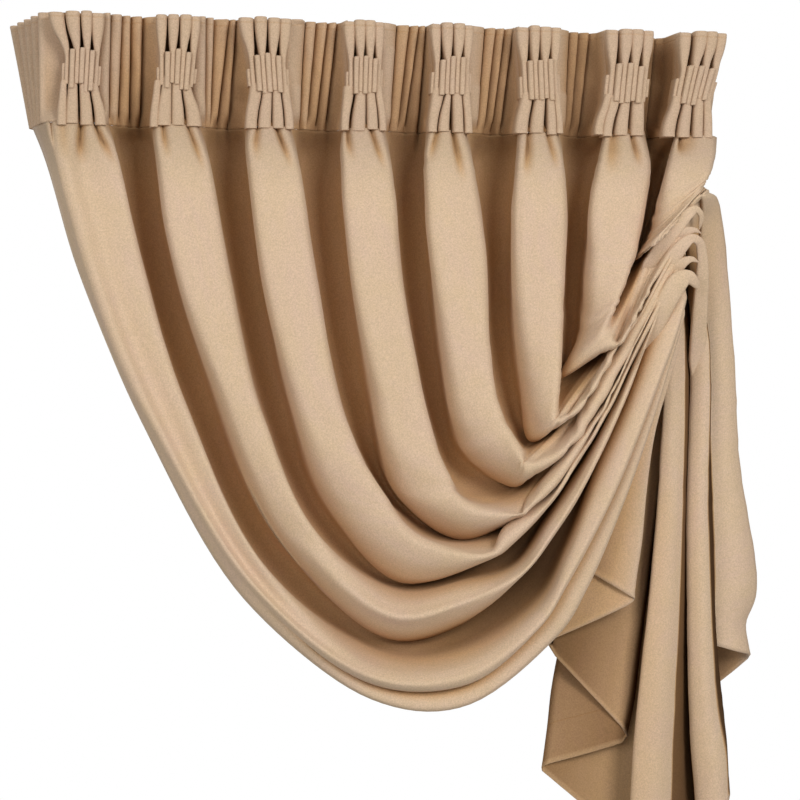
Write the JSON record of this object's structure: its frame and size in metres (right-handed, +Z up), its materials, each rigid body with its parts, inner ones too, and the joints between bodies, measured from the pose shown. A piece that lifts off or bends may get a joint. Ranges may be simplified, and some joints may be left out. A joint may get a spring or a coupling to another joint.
{
  "type": "pinch-pleated velvet curtain",
  "caption": "Velvet blackout curtain with a pinch-pleated heading, swept to one side so that it hangs as a deep swag and falls from the gather as a folded tail.",
  "frame": {"origin": "middle of the heading's top edge, on the line where the curtain hangs from its rail", "axes": "+X along the heading to the right as seen from the room, the front faces -Y, +Z up"},
  "size_m": [1.0045, 0.2401, 1.1202],
  "materials": {
    "heading_velvet": "short-pile velvet, gathered",
    "panel_velvet": "short-pile velvet"
  },
  "bodies": {
    "root": {"heading": "heading_velvet", "curtain_panel": "panel_velvet"}
  },
  "joints": []
}
